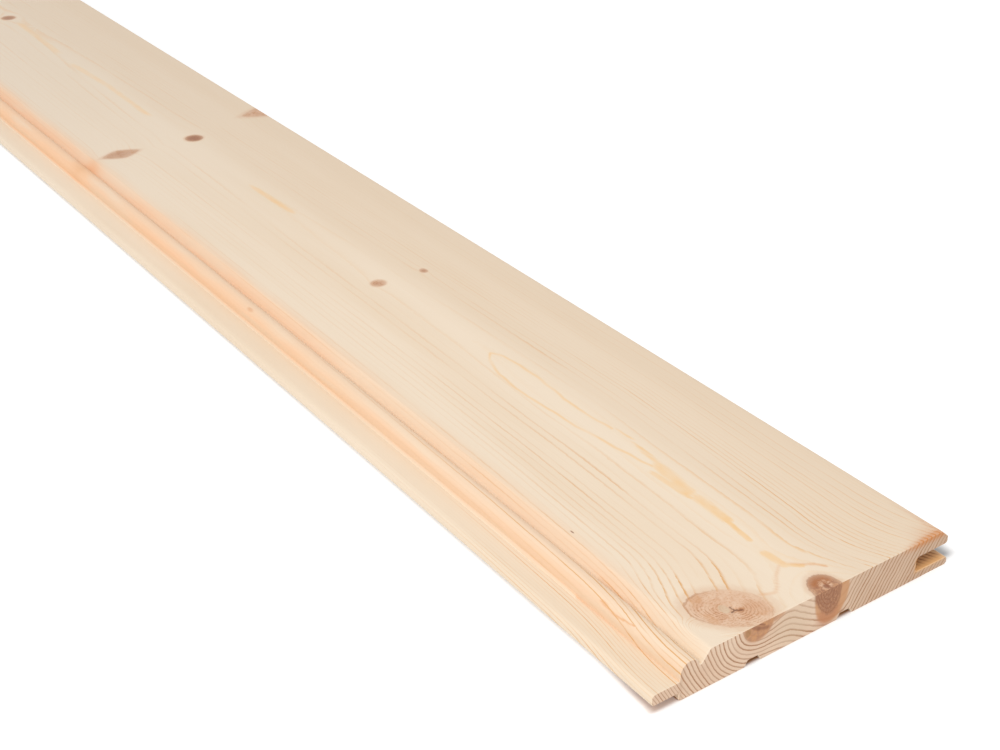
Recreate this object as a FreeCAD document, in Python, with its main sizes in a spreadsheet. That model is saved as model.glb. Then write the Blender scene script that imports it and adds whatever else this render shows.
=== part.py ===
"""Tongue and groove board: a softwood lining board, 14 mm thick, that covers 110 mm of wall.

It is one planed stick of pine. Its long edges carry a tongue and a groove, so that boards
close side by side, and a half-round bead with a V beside it dresses the joint on the face.
Two shallow channels in the back let the board lie flat as it dries.

The board lies along X, face up (+Z), with its back on Z = 0. Its tongue points to -Y and its
groove opens to +Y. The origin is under the middle of its box. Lengths are in millimetres.
"""
import FreeCAD, Part
import os

import Sketcher
from FreeCAD import Vector

# The driving sizes. Heights are measured up from the back, and depths down from the face.
SIZES = {
    "board_length": 2400.0,
    "board_thickness": 14.0,
    "cover_width": 110.0,
    "tongue_length": 10.0,
    "tongue_thickness": 4.2,
    "tongue_height": 3.0,
    "tongue_nose_radius": 1.4,
    "groove_headroom": 1.2,
    "groove_end_gap": 4.6,
    "groove_corner_radius": 1.2,
    "back_lip_nose_radius": 1.2,
    "face_lip_setback": 1.0,
    "face_lip_nose_radius": 1.1,
    "lip_bevel_width": 3.3,
    "lip_bevel_depth": 3.0,
    "bead_radius": 3.6,
    "bead_depth": 0.9,
    "vee_depth": 4.1,
    "vee_bottom_width": 0.6,
    "vee_flank_width": 3.05,
    "face_arris_radius": 0.4,
    "back_arris_bevel": 0.8,
    "channel_mouth_width": 6.3,
    "channel_roof_width": 4.0,
    "channel_depth": 2.05,
    "channel_to_shoulder": 28.0,
    "channel_spacing": 37.0,
}
CHANNEL_COUNT = 2

# How far the outline of a cut runs past the stock, so that the cut leaves no skin.
OVERCUT = 1.0
# A rounding takes at most this share of the wall that it rounds.
WALL_SHARE = 0.9
# How near an edge has to lie to the place where it is looked for.
NEAR = 0.01
# The least volume that a step has to add or take away to count as made.
LEAST_CHANGE = 1.0


class Length:
    """A length: its value, and the expression on the sheet's cells that gives it."""

    def __init__(self, value, text):
        self.value = value
        self.text = text

    def __add__(self, other):
        return Length(self.value + other.value, f"({self.text} + {other.text})")

    def __sub__(self, other):
        return Length(self.value - other.value, f"({self.text} - {other.text})")

    def __mul__(self, factor):
        return Length(self.value * factor, f"({self.text} * {factor})")

    def at_most(self, wall):
        """This length, or the share of a wall that a rounding may take if that is less."""
        room = wall * WALL_SHARE
        return Length(min(self.value, room.value), f"min({self.text}; {room.text})")


BACK = Length(0.0, "0")
BEYOND = Length(OVERCUT, str(OVERCUT))


def size_sheet(doc):
    """Puts the driving sizes in a sheet, and returns each as a length bound to its cell."""
    sheet = doc.addObject("Spreadsheet::Sheet", "Sizes")
    lengths = {}
    for row, (name, value) in enumerate(SIZES.items(), start=1):
        sheet.set(f"A{row}", name.replace("_", " "))
        sheet.set(f"B{row}", str(value))
        sheet.setAlias(f"B{row}", name)
        lengths[name] = Length(value, f"Sizes.{name}")
    doc.recompute()
    return lengths


class Section:
    """Where the lines of the board's section lie: across from its middle, and up from its back."""

    def __init__(self, size):
        self.back_lip = (size["tongue_length"] + size["cover_width"]) * 0.5
        self.tongue_tip = BACK - self.back_lip
        self.shoulder = self.tongue_tip + size["tongue_length"]
        self.face_lip = self.back_lip - size["face_lip_setback"]
        self.face = BACK + size["board_thickness"]

        self.tongue_under = BACK + size["tongue_height"]
        self.tongue_top = self.tongue_under + size["tongue_thickness"]
        self.groove_wall = self.back_lip - size["tongue_length"] - size["groove_end_gap"]
        self.groove_roof = self.tongue_top + size["groove_headroom"]
        self.groove_middle = (self.tongue_under + self.groove_roof) * 0.5

        self.bead_middle = self.shoulder + size["bead_radius"]
        self.bead_spring = self.face - size["bead_depth"] - size["bead_radius"]
        self.vee_bottom = self.face - size["vee_depth"]
        self.vee_right = self.bead_middle + size["bead_radius"] + size["vee_bottom_width"]
        self.face_left = self.vee_right + size["vee_flank_width"]

        self.bevel_foot = self.face - size["lip_bevel_depth"]
        self.face_right = self.face_lip - size["lip_bevel_width"]
        self.channel_middle = self.shoulder + size["channel_to_shoulder"]


def section_sketch(body, name):
    """An empty sketch across the board: its X runs along the board's Y, and its Y along Z."""
    sketch = body.newObject("Sketcher::SketchObject", name)
    plane = next(item for item in body.Origin.OriginFeatures if item.Role == "YZ_Plane")
    sketch.AttachmentSupport = (plane, [""])
    sketch.MapMode = "FlatFace"
    return sketch


def tie(sketch, direction, point, length):
    """Ties how far a sketch point lies from the sketch's origin to a length."""
    origin = (-1, 1)
    ahead = length.value >= 0
    ends = origin + point if ahead else point + origin
    number = sketch.addConstraint(Sketcher.Constraint(direction, *ends, abs(length.value)))
    sketch.setExpression(f"Constraints[{number}]", length.text if ahead else f"-{length.text}")


def chain(sketch, corners):
    """Joined straight lines through corners that are tied both across and up."""
    first = sketch.GeometryCount
    points = [Vector(across.value, up.value, 0) for across, up in corners]
    for start, end in zip(points, points[1:]):
        line = sketch.addGeometry(Part.LineSegment(start, end), False)
        if line > first:
            sketch.addConstraint(Sketcher.Constraint("Coincident", line - 1, 2, line, 1))
    last = sketch.GeometryCount - 1
    ends = [(line, 1) for line in range(first, last + 1)] + [(last, 2)]
    for point, (across, up) in zip(ends, corners):
        tie(sketch, "DistanceX", point, across)
        tie(sketch, "DistanceY", point, up)
    return ends[0], ends[-1]


def closed_outline(sketch, corners):
    """A closed outline of straight lines through tied corners."""
    start, end = chain(sketch, corners)
    closing = sketch.addGeometry(Part.LineSegment(*(
        Vector(across.value, up.value, 0) for across, up in (corners[-1], corners[0])
    )), False)
    sketch.addConstraint(Sketcher.Constraint("Coincident", *end, closing, 1))
    sketch.addConstraint(Sketcher.Constraint("Coincident", closing, 2, *start))


def volume(body):
    """The volume of the body so far."""
    return body.Tip.Shape.Volume if body.Tip else 0.0


def run_lengthwise(body, kind, sketch, settings):
    """Pads or pockets a section sketch along the board, to both sides of its middle."""
    before = volume(body)
    feature = body.newObject(f"PartDesign::{kind}", f"{sketch.Name}{kind}")
    feature.Profile = sketch
    feature.SideType = "Symmetric"
    settings(feature)
    body.Document.recompute()
    if abs(volume(body) - before) < LEAST_CHANGE:
        raise RuntimeError(f"{feature.Name} changes nothing")
    return feature


def cut_right_through(feature):
    """Settings of a cut that runs out at both ends of the board."""
    feature.Type = "ThroughAll"


def stock(body, size, section):
    """The planed blank: as long, wide and thick as the board."""
    sketch = section_sketch(body, "Stock")
    closed_outline(sketch, [
        (section.tongue_tip, BACK),
        (section.back_lip, BACK),
        (section.back_lip, section.face),
        (section.tongue_tip, section.face),
    ])
    run_lengthwise(
        body, "Pad", sketch, lambda pad: pad.setExpression("Length", size["board_length"].text)
    )


def tongue(body, section):
    """Leaves the tongue standing between a rebate above it and one below."""
    sketch = section_sketch(body, "Tongue")
    outside = section.tongue_tip - BEYOND
    for low, high in (
        (section.tongue_top, section.face + BEYOND),
        (BACK - BEYOND, section.tongue_under),
    ):
        closed_outline(sketch, [
            (outside, low),
            (section.shoulder, low),
            (section.shoulder, high),
            (outside, high),
        ])
    run_lengthwise(body, "Pocket", sketch, cut_right_through)


def groove(body, section):
    """The groove for the next board's tongue, with its floor level with the tongue's."""
    sketch = section_sketch(body, "Groove")
    closed_outline(sketch, [
        (section.groove_wall, section.tongue_under),
        (section.back_lip + BEYOND, section.tongue_under),
        (section.back_lip + BEYOND, section.groove_roof),
        (section.groove_wall, section.groove_roof),
    ])
    run_lengthwise(body, "Pocket", sketch, cut_right_through)


def face_lip(body, section):
    """Sets the lip on the face side back from the other, and bevels it like the V's flank."""
    sketch = section_sketch(body, "FaceLip")
    closed_outline(sketch, [
        (section.face_right, section.face),
        (section.face_lip, section.bevel_foot),
        (section.face_lip, section.groove_middle),
        (section.back_lip + BEYOND, section.groove_middle),
        (section.back_lip + BEYOND, section.face + BEYOND),
        (section.face_right, section.face + BEYOND),
    ])
    run_lengthwise(body, "Pocket", sketch, cut_right_through)


def bead_and_vee(body, size, section):
    """The half-round bead over the shoulder, and the V between it and the flat of the face."""
    sketch = section_sketch(body, "BeadAndVee")
    rise = section.vee_bottom.value - section.bead_spring.value
    radius = size["bead_radius"].value
    reach = (radius ** 2 - rise ** 2) ** 0.5
    vee_left = Length(section.bead_middle.value + reach, "")
    start, end = chain(sketch, [
        (section.vee_right, section.vee_bottom),
        (section.face_left, section.face),
        (section.face_left, section.face + BEYOND),
        (section.shoulder - BEYOND, section.face + BEYOND),
        (section.shoulder - BEYOND, section.bead_spring),
        (section.shoulder, section.bead_spring),
    ])
    # The bead's arc runs from the V's bottom over the top to its spring at the shoulder.
    middle = Vector(section.bead_middle.value, section.bead_spring.value, 0)
    top = middle + Vector(0, radius, 0)
    foot = Vector(vee_left.value, section.vee_bottom.value, 0)
    spring = Vector(section.shoulder.value, section.bead_spring.value, 0)
    bead = sketch.addGeometry(Part.Arc(foot, top, spring), False)
    tie(sketch, "DistanceX", (bead, 3), section.bead_middle)
    tie(sketch, "DistanceY", (bead, 3), section.bead_spring)
    tie(sketch, "DistanceY", (bead, 1), section.vee_bottom)
    sketch.addConstraint(Sketcher.Constraint("Coincident", *end, bead, 2))
    bottom = sketch.addGeometry(
        Part.LineSegment(foot, Vector(section.vee_right.value, section.vee_bottom.value, 0)), False
    )
    sketch.addConstraint(Sketcher.Constraint("Coincident", bead, 1, bottom, 1))
    sketch.addConstraint(Sketcher.Constraint("Coincident", bottom, 2, *start))
    run_lengthwise(body, "Pocket", sketch, cut_right_through)


def back_channels(body, size, section):
    """The shallow channels in the back: slanted walls under a flat roof, evenly spaced."""
    sketch = section_sketch(body, "Channel")
    middle = section.channel_middle
    half_mouth = size["channel_mouth_width"] * 0.5
    half_roof = size["channel_roof_width"] * 0.5
    closed_outline(sketch, [
        (middle - half_mouth, BACK - BEYOND),
        (middle + half_mouth, BACK - BEYOND),
        (middle + half_mouth, BACK),
        (middle + half_roof, BACK + size["channel_depth"]),
        (middle - half_roof, BACK + size["channel_depth"]),
        (middle - half_mouth, BACK),
    ])
    channel = run_lengthwise(body, "Pocket", sketch, cut_right_through)
    before = volume(body)
    pattern = body.newObject("PartDesign::LinearPattern", "Channels")
    pattern.Originals = [channel]
    pattern.Direction = (sketch, ["H_Axis"])
    pattern.Mode = "Spacing"
    pattern.setExpression("Offset", size["channel_spacing"].text)
    pattern.Occurrences = CHANNEL_COUNT
    body.Tip = pattern
    body.Document.recompute()
    if before - volume(body) < LEAST_CHANGE:
        raise RuntimeError("the channels are not repeated")


def long_edges(shape, places):
    """The names of the lengthwise edges that lie at the given places across and up."""
    names = []
    for across, up in places:
        for number, edge in enumerate(shape.Edges, start=1):
            ends = [vertex.Point for vertex in edge.Vertexes]
            if all(abs(p.y - across.value) < NEAR and abs(p.z - up.value) < NEAR for p in ends):
                names.append(f"Edge{number}")
    if len(names) != len(places):
        raise RuntimeError(f"{len(names)} edges lie at {len(places)} places")
    return names


def ease(body, kind, name, setting, length, places):
    """Rounds or bevels lengthwise edges of the body so far."""
    base = body.Tip
    feature = body.newObject(f"PartDesign::{kind}", name)
    feature.Base = (base, long_edges(base.Shape, places))
    feature.setExpression(setting, length.text)
    body.Document.recompute()


def rounded_and_bevelled_edges(body, size, section):
    """The rounded noses of the tongue and lips, the groove's corner, and the broken arrises."""
    tongue_wall = size["tongue_thickness"] * 0.5
    ease(body, "Fillet", "TongueNose", "Radius", size["tongue_nose_radius"].at_most(tongue_wall), [
        (section.tongue_tip, section.tongue_under),
        (section.tongue_tip, section.tongue_top),
    ])
    groove_wall = section.groove_roof - section.tongue_under
    corner = size["groove_corner_radius"].at_most(groove_wall)
    ease(body, "Fillet", "GrooveCorner", "Radius", corner, [
        (section.groove_wall, section.groove_roof),
    ])
    face_lip_wall = section.bevel_foot - section.groove_roof
    nose = size["face_lip_nose_radius"].at_most(face_lip_wall)
    ease(body, "Fillet", "FaceLipNose", "Radius", nose, [
        (section.face_lip, section.groove_roof),
    ])
    back_lip_wall = section.tongue_under - size["back_arris_bevel"]
    nose = size["back_lip_nose_radius"].at_most(back_lip_wall)
    ease(body, "Fillet", "BackLipNose", "Radius", nose, [
        (section.back_lip, section.tongue_under),
    ])
    ease(body, "Fillet", "FaceArrises", "Radius", size["face_arris_radius"], [
        (section.face_left, section.face),
        (section.face_right, section.face),
    ])
    ease(body, "Chamfer", "BackArrises", "Size", size["back_arris_bevel"], [
        (section.shoulder, BACK),
        (section.back_lip, BACK),
    ])


def board(doc, size):
    """The whole board, made in the order in which a moulder would plane it."""
    body = doc.addObject("PartDesign::Body", "Board")
    body.Label = "board"
    section = Section(size)
    stock(body, size, section)
    tongue(body, section)
    groove(body, section)
    face_lip(body, section)
    bead_and_vee(body, size, section)
    back_channels(body, size, section)
    rounded_and_bevelled_edges(body, size, section)
    body.Placement = FreeCAD.Placement()
    return body


def write(doc, pieces):
    """Writes each piece once every object of the document has come out whole."""
    doc.recompute()
    for item in doc.Objects:
        if "Invalid" in item.State or "Error" in item.State:
            raise RuntimeError(f"{item.Name} failed: {item.State}")
    for piece in pieces:
        shape = piece.Shape
        if shape.isNull() or not shape.isValid() or len(shape.Solids) != 1:
            raise RuntimeError(f"{piece.Label} is not one whole solid")
        shape.exportStep(f"parts/{piece.Label}.step")
        box = shape.BoundBox
        print(piece.Label, round(box.XLength, 3), round(box.YLength, 3), round(box.ZLength, 3))


os.makedirs("parts", exist_ok=True)
document = FreeCAD.newDocument("TongueAndGrooveBoard")
write(document, [board(document, size_sheet(document))])
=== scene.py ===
import math
from typing import NamedTuple

import bpy
import numpy as np
from mathutils import Matrix, Vector
from mathutils.geometry import delaunay_2d_cdt


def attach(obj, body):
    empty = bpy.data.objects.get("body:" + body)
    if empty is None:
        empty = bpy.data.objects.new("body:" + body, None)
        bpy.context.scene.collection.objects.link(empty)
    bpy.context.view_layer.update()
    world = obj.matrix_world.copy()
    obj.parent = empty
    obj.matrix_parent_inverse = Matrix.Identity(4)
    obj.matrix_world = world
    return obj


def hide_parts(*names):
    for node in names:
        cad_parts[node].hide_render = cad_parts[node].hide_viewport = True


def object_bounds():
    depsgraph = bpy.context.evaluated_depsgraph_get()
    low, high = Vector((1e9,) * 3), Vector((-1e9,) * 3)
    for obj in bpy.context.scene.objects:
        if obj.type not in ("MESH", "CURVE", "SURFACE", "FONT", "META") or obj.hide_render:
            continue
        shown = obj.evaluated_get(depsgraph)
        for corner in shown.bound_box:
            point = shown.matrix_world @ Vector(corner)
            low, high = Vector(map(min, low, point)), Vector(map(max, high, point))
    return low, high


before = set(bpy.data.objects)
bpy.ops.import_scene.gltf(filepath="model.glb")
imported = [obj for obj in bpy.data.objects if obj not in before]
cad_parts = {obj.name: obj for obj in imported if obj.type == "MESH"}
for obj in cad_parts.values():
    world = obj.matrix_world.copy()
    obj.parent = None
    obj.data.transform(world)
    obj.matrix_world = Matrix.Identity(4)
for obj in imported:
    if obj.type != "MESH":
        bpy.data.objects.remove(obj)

bl_info = {
    "name": "Tongue and groove board",
    "version": (1, 0, 0),
    "blender": (4, 5, 0),
    "location": "3D View > Sidebar > Board",
    "description": "A planed pine matchboard with a bead and V joint, and the bench it is shown on",
    "category": "Object",
}

MM = 0.001
CAD_LOW, CAD_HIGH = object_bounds()
BOARD_SIZE = CAD_HIGH - CAD_LOW


def paint(red, green, blue):
    """A screen colour from 0 to 255 as the light values that shaders use."""
    screen = np.array([red, green, blue]) / 255
    light = np.where(screen <= 0.04045, screen / 12.92, ((screen + 0.055) / 1.055) ** 2.4)
    return tuple(float(v) for v in light)


def length(name, default_mm, text):
    """A size in metres that is written in millimetres here."""
    return bpy.props.FloatProperty(
        name=name, description=text, default=default_mm * MM, unit="LENGTH", precision=5
    )


def colour(name, red, green, blue, text):
    """A colour that a user can change, from its screen values."""
    return bpy.props.FloatVectorProperty(
        name=name,
        description=text,
        default=paint(red, green, blue),
        size=3,
        min=0,
        max=1,
        subtype="COLOR",
    )


def share(name, default, text, low=0.0, high=1.0):
    """A plain amount."""
    return bpy.props.FloatProperty(
        name=name, description=text, default=default, min=low, max=high, subtype="FACTOR"
    )


class BoardSizes(bpy.types.PropertyGroup):
    """The board's length, width, thickness and section, its eased ends and its worn edges."""

    length: length("Length", BOARD_SIZE.x / MM, "Length of the board")
    width: length("Width", BOARD_SIZE.y / MM, "Width over the tongue")
    thickness: length("Thickness", BOARD_SIZE.z / MM, "Thickness of the board")
    tongue_length: length("Tongue length", 10.0, "How far the tongue stands out of its shoulder")
    tongue_low: length("Tongue underside", 3.0, "Height of the tongue's underside and the groove's floor")
    tongue_high: length("Tongue top", 7.2, "Height of the tongue's top")
    groove_roof: length("Groove roof", 8.4, "Height of the groove's roof")
    groove_depth: length("Groove depth", 14.6, "Depth of the groove from the back lip's tip")
    bead_radius: length("Bead radius", 3.6, "Radius of the bead along the tongue side")
    bead_top: length("Bead top", 13.1, "Height of the bead's crown")
    vee_bottom: length("V bottom", 9.9, "Height of the bottom of the V between bead and face")
    end_arris: length("End arris", 0.22, "How much the saw-cut ends' edges are eased")
    wear: length("Wear", 0.14, "The most that the long edges are worn back")


class PineLooks(bpy.types.PropertyGroup):
    """The colours of the planed pine, and the shade painted on it."""

    face: colour("Face", 240, 222, 199, "Spring wood on the planed face")
    face_deep: colour("Deeper face", 232, 209, 181, "Slightly darker drifts in the face")
    # Painted shade: the far half of the face is drawn greyer and darker, for the light that falls off away from the
    # near end.
    face_far_shade: colour("Far face", 228, 212, 192, "The greyer, paler far half of the face")
    # Painted shade: darker towards the groove side and on the bead's left flank.
    face_side_shade: colour("Dull face", 224, 202, 176, "Duller wood towards the groove side")
    late: colour("Late wood", 229, 189, 138, "Summer wood lines on the face")
    late_strong: colour("Strong late wood", 220, 162, 98, "The darkest summer wood lines")
    blush: colour("Blush", 243, 198, 160, "Peach heartwood along the tongue side")
    resin: colour("Resin", 242, 196, 130, "Resin streaks over the pith")
    fork: colour("Resin fork", 226, 168, 116, "Resin mark that forks between the two end knots")
    knot_pale: colour("Pale knot", 234, 200, 170, "Sound knots")
    knot_tan: colour("Tan knot", 212, 160, 120, "Darker drifts in sound knots")
    knot_grey: colour("Grey knot", 214, 190, 160, "The bare greyish patch beside the crack")
    knot_ring: colour("Knot rings", 142, 88, 60, "Rings round a knot's heart")
    knot_dark: colour("Dark knot", 164, 116, 88, "Dark knots")
    knot_rim: colour("Knot rim", 206, 150, 104, "Resin-stained rim of a knot")
    knot_rim_deep: colour("Deep knot rim", 170, 104, 56, "The brown side of the small end knot")
    knot_red: colour("Red knot", 190, 126, 90, "Reddish wood under the small end knot")
    crack: colour("Crack", 112, 72, 48, "Arms of the drying crack")
    crack_heart: colour("Crack heart", 176, 112, 62, "Heart of the drying crack")
    cup: colour("Knot cup", 186, 134, 100, "The big knot where the saw has cut it")
    olive: colour("Olive stain", 160, 116, 72, "A resin spot in the big knot's cut")
    bark: colour("Specks", 74, 42, 26, "Small dark specks")
    end: colour("Saw-cut end", 236, 209, 183, "Spring wood on the saw-cut end")
    # Painted shade: the saw-cut end is drawn darker towards the groove side.
    end_side_shade: colour("Dull end", 192, 160, 132, "Duller wood towards the groove side of the saw-cut end")
    end_deep: colour("Deeper end", 228, 197, 170, "Slightly darker drifts in the end")
    end_late: colour("End late wood", 168, 116, 78, "Summer wood lines on the saw-cut end")
    # Painted shade: the inside of the groove is drawn warm and dark for the shade in it, darkest away from the near
    # end.
    groove: colour("Groove", 236, 178, 108, "Resin-coloured wood inside the groove")
    groove_deep_shade: colour("Deep groove", 134, 80, 34, "The wood deep inside the groove")
    amber: colour("Amber stain", 206, 130, 66, "Stain at the corner of the end")
    grain: share("Grain", 1.0, "Strength of the summer wood lines on the face")
    roughness: share("Roughness", 0.58, "Roughness of the planed face")


class StageLooks(bpy.types.PropertyGroup):
    """The floor, the lamps and the camera."""

    floor: colour("Floor", 238, 238, 238, "Colour of the floor")
    under: colour("Under the board", 176, 124, 80, "Shade on the floor under the board, warm from the wood above it")
    behind: colour("Behind the board", 182, 182, 182, "Shade on the floor behind the groove")
    sky: share("Sky", 0.72, "Strength of the even light from all around", high=4.0)
    key: share("Key lamp", 17.0, "Power of the large soft lamp, in watts", high=400.0)
    glow: share("Floor glow", 0.30, "Light added to the floor where the camera sees it", high=1.0)
    lens: bpy.props.FloatProperty(
        name="Lens", description="Focal length", default=56.678, unit="CAMERA"
    )


# Growth of the tree, in millimetres. Along is measured back from the near
# end, across from the tongue's shoulder towards the groove, height from the back.


class Collar(NamedTuple):
    """How the growth rings wrap one branch near the end of the board."""

    along: float
    across: float
    lean: float
    start: float
    rise: float
    blend: float
    squash: float
    twist: float


class Knot(NamedTuple):
    """One knot: its place and half sizes on the face, and how its heart drifts with depth."""

    along: float
    across: float
    half_along: float
    half_across: float
    turn: float
    drift_along: float
    drift_across: float
    push: float
    dark: float
    closes: float
    point: float = 2.0


SPECK = (1134.2, -37.1, 14.0)
PITCH = (942.0, -48.2, 12.5)
CRACK_CENTRE = (8.9, 28.0)
CRACK_TIPS = ((7.5, 29.8), (8.4, 26.5), (10.6, 27.6))
STREAKS = (
    (104, 62.3, 90, 60.6, 0.5),
    (90, 60.6, 76, 58.8, 0.9),
    (78, 58.4, 62, 56.4, 2.3),
    (77, 54.2, 60, 54.6, 1.0),
    (58, 56.6, 43, 56.0, 1.9),
    (44, 55.8, 31, 54.4, 1.0),
    (23.5, 53.4, 16.0, 54.2, 1.5),
    (15.5, 54.8, 12.5, 58.4, 0.9),
    (362, 57.5, 330, 58.5, 1.5),
    (572, 55.6, 525, 58.0, 1.7),
    (528, 58.0, 476, 57.0, 1.5),
    (662, 58.6, 595, 56.8, 1.9),
)
FORK = (
    (17.0, 54.6, 13.5, 58.2, 0.75),
    (13.5, 58.2, 11.0, 61.9, 0.6),
    (11.0, 61.9, 8.3, 63.9, 0.45),
)
FORK_PALE = (
    (16.5, 52.6, 13.5, 48.6, 0.5),
    (13.5, 48.6, 9.7, 45.4, 0.45),
    (9.7, 45.4, 7.7, 42.6, 0.5),
    (7.7, 42.6, 9.5, 38.4, 0.6),
)
LOOP = (
    (80.0, 56.6, 94.5, 53.8),
    (94.5, 53.8, 114.0, 51.4),
    (114.0, 51.4, 140.0, 49.6),
    (140.0, 49.6, 158.0, 50.8),
    (158.0, 50.8, 169.0, 53.6),
    (169.0, 53.6, 173.0, 56.8),
    (173.0, 56.8, 168.0, 59.7),
    (168.0, 59.7, 158.5, 60.5),
    (158.5, 60.5, 138.5, 59.9),
    (138.5, 59.9, 122.5, 59.2),
    (122.5, 59.2, 105.5, 60.4),
)
POCKET = (
    (35.6, 2.7, 33.6, 2.4, 0.50),
    (33.6, 2.3, 29.5, 1.8, 0.30),
    (29.5, 1.8, 25.5, 2.3, 0.32),
    (25.5, 2.3, 21.5, 2.9, 0.20),
)
BEAD_CENTRE = (3.6, 9.5)
PITH = dict(across_near=52.66, across_far=56.02, height=6.2, rise=9.0, rise_reach=18.9)
RING_WIDTH = 3.29
RING_FADE = 96.3
RING_ZERO = 2.984
COLLARS = (
    Collar(4.92, 18.0, 12.49, 3.04, 3.69, 9.09, 0.606, -0.067),
    Collar(-4.84, 58.61, -3.55, 17.2, 1.8, 80.0, 0.805, 0.0),
)
KNOTS = (
    Knot(10.1, 26.9, 12.8, 8.5, 130, 0.10, 0.15, 0.0, 0.12, 9.0),
    Knot(0.6, 56.6, 6.6, 5.5, 0, 0.25, 0.2, 3.2, 1.0, 11.5),
    Knot(246, 53.1, 3.0, 3.1, 0, 0.1, -0.3, 1.2, 0.3, 40.0),
    Knot(245, 74.0, 2.0, 1.5, 0, 0.1, 1.2, 0.8, 0.5, 6.0),
    Knot(433, 61.9, 4.2, 4.3, 0, 0.2, 0.4, 2.2, 0.95, 60.0),
    Knot(434.5, 24.4, 5.2, 9.4, 0, 0.2, -1.6, 3.0, 0.45, 2.2, 1.3),
    Knot(446, 110.0, 8.0, 15.5, 0, 0.2, 2.4, 3.0, 0.35, 6.0, 1.25),
    Knot(674.5, 56.9, 4.2, 4.0, 0, 0.3, 0.1, 2.5, 0.75, 60.0),
    Knot(681, 21.0, 3.4, 7.0, 0, 0.2, -1.4, 2.5, 0.3, 3.0, 1.3),
    Knot(904, 61.0, 5.2, 4.8, 20, 0.2, 0.3, 3.0, 0.7, 60.0),
    Knot(913, 93.0, 4.6, 9.5, 0, 0.2, 1.6, 3.0, 0.4, 4.0, 1.3),
    Knot(1128, 50.5, 5.0, 4.4, 0, 0.3, -0.2, 2.6, 0.35, 60.0),
    Knot(1135, 17.5, 4.6, 8.0, 0, 0.2, -1.5, 3.0, 0.5, 3.5, 1.3),
    Knot(1342, 63.0, 6.4, 5.8, 140, 0.2, 0.4, 3.4, 0.8, 60.0),
    Knot(1349, 31.0, 4.0, 6.6, 0, 0.2, -1.2, 2.6, 0.35, 4.0, 1.3),
    Knot(1352, 100.0, 5.0, 9.0, 0, 0.2, 1.8, 3.0, 0.45, 4.0, 1.2),
    Knot(1571, 52.0, 4.4, 4.0, 0, 0.2, 0.1, 2.2, 0.4, 60.0),
    Knot(1580, 84.0, 3.0, 2.6, 0, 0.2, 1.2, 1.6, 0.5, 9.0),
    Knot(1791, 58.5, 7.4, 6.4, 30, 0.3, 0.2, 3.8, 0.9, 60.0),
    Knot(1800, 25.0, 5.2, 9.0, 0, 0.2, -1.5, 3.0, 0.4, 3.2, 1.3),
    Knot(2012, 49.5, 4.6, 4.2, 0, 0.2, -0.1, 2.4, 0.3, 60.0),
    Knot(2018, 76.0, 4.0, 4.6, 0, 0.2, 0.9, 2.4, 0.6, 12.0),
    Knot(2021, 14.5, 3.6, 5.0, 0, 0.2, -1.2, 2.0, 0.5, 4.0, 1.3),
    Knot(2238, 60.5, 5.8, 5.2, 150, 0.2, 0.3, 3.0, 0.7, 60.0),
    Knot(2246, 97.0, 4.4, 8.0, 0, 0.2, 1.7, 2.8, 0.35, 4.0, 1.3),
)


def smooth_step(low, high, x):
    """0 at low and 1 at high, with a cubic ease between, whichever of them is the greater."""
    t = np.clip((x - low) / (high - low), 0, 1)
    return t * t * (3 - 2 * t)


def smooth_least(a, b, blend):
    """The lesser of a and b, rounded where they are within blend of each other."""
    h = np.clip(0.5 + 0.5 * (b - a) / blend, 0, 1)
    return b * (1 - h) + a * h - blend * h * (1 - h)


def branch_distance(collar, along, across, height, pith_across, pith_height):
    """Distance from the line that runs from the pith to where the branch leaves the face, squashed by the collar's ratio."""
    heart = np.array([collar.lean, collar.across - pith_across, 14 - pith_height])
    heart = heart / np.linalg.norm(heart)
    offset = np.stack([along - collar.along, across - collar.across, height - 14.0], -1)
    side = offset - (offset @ heart)[..., None] * heart
    first = np.array([1.0, 0, 0]) - heart[0] * heart
    first /= np.linalg.norm(first)
    second = np.cross(heart, first)
    p, q = side @ first, side @ second
    c, s = math.cos(collar.twist), math.sin(collar.twist)
    return np.hypot((c * p + s * q) / collar.squash, (c * q - s * p) * collar.squash)


def knot_reach(knot, along, across, height):
    """Distance from the knot's heart as a share of its own radius, in the slice at this height."""
    depth = 14 - height
    u = along - knot.along - knot.drift_along * depth
    v = across - knot.across - knot.drift_across * depth
    c, s = math.cos(math.radians(knot.turn)), math.sin(math.radians(knot.turn))
    long, cross = abs(c * u + s * v) / knot.half_along, abs(c * v - s * u) / knot.half_across
    reach = (long**knot.point + cross**knot.point) ** (1 / knot.point)
    return np.hypot(reach, np.maximum(depth, 0) / knot.closes)


def ring_count(along, across, height):
    """Growth rings over the whole section: the trunk's own rings in the middle, and evenly spaced leaning ones towards both edges."""
    count = trunk_rings(along, across, height)
    drop = 8 - height
    left = across - 0.5 * drop - 0.0133 * drop**2
    left_count = trunk_rings(along, np.full_like(across, 12.0), np.full_like(height, 8.0), ())
    left_count = left_count - 6.3 * np.exp(-((along / 24) ** 2))
    left_count = left_count + (12 - left) / 1.5 + np.maximum(-1 - left, 0) * (1 / 1.12 - 1 / 1.5)
    count = count + (left_count - count) * smooth_step(16, 9, across)
    right = across + 0.6 * drop - 66
    right_count = trunk_rings(along, np.full_like(across, 66.0), np.full_like(height, 8.0)) + right / 1.85
    reach = smooth_step(62, 69, across) * np.exp(-((along / 50) ** 2))
    return count + (right_count - count) * reach


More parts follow.
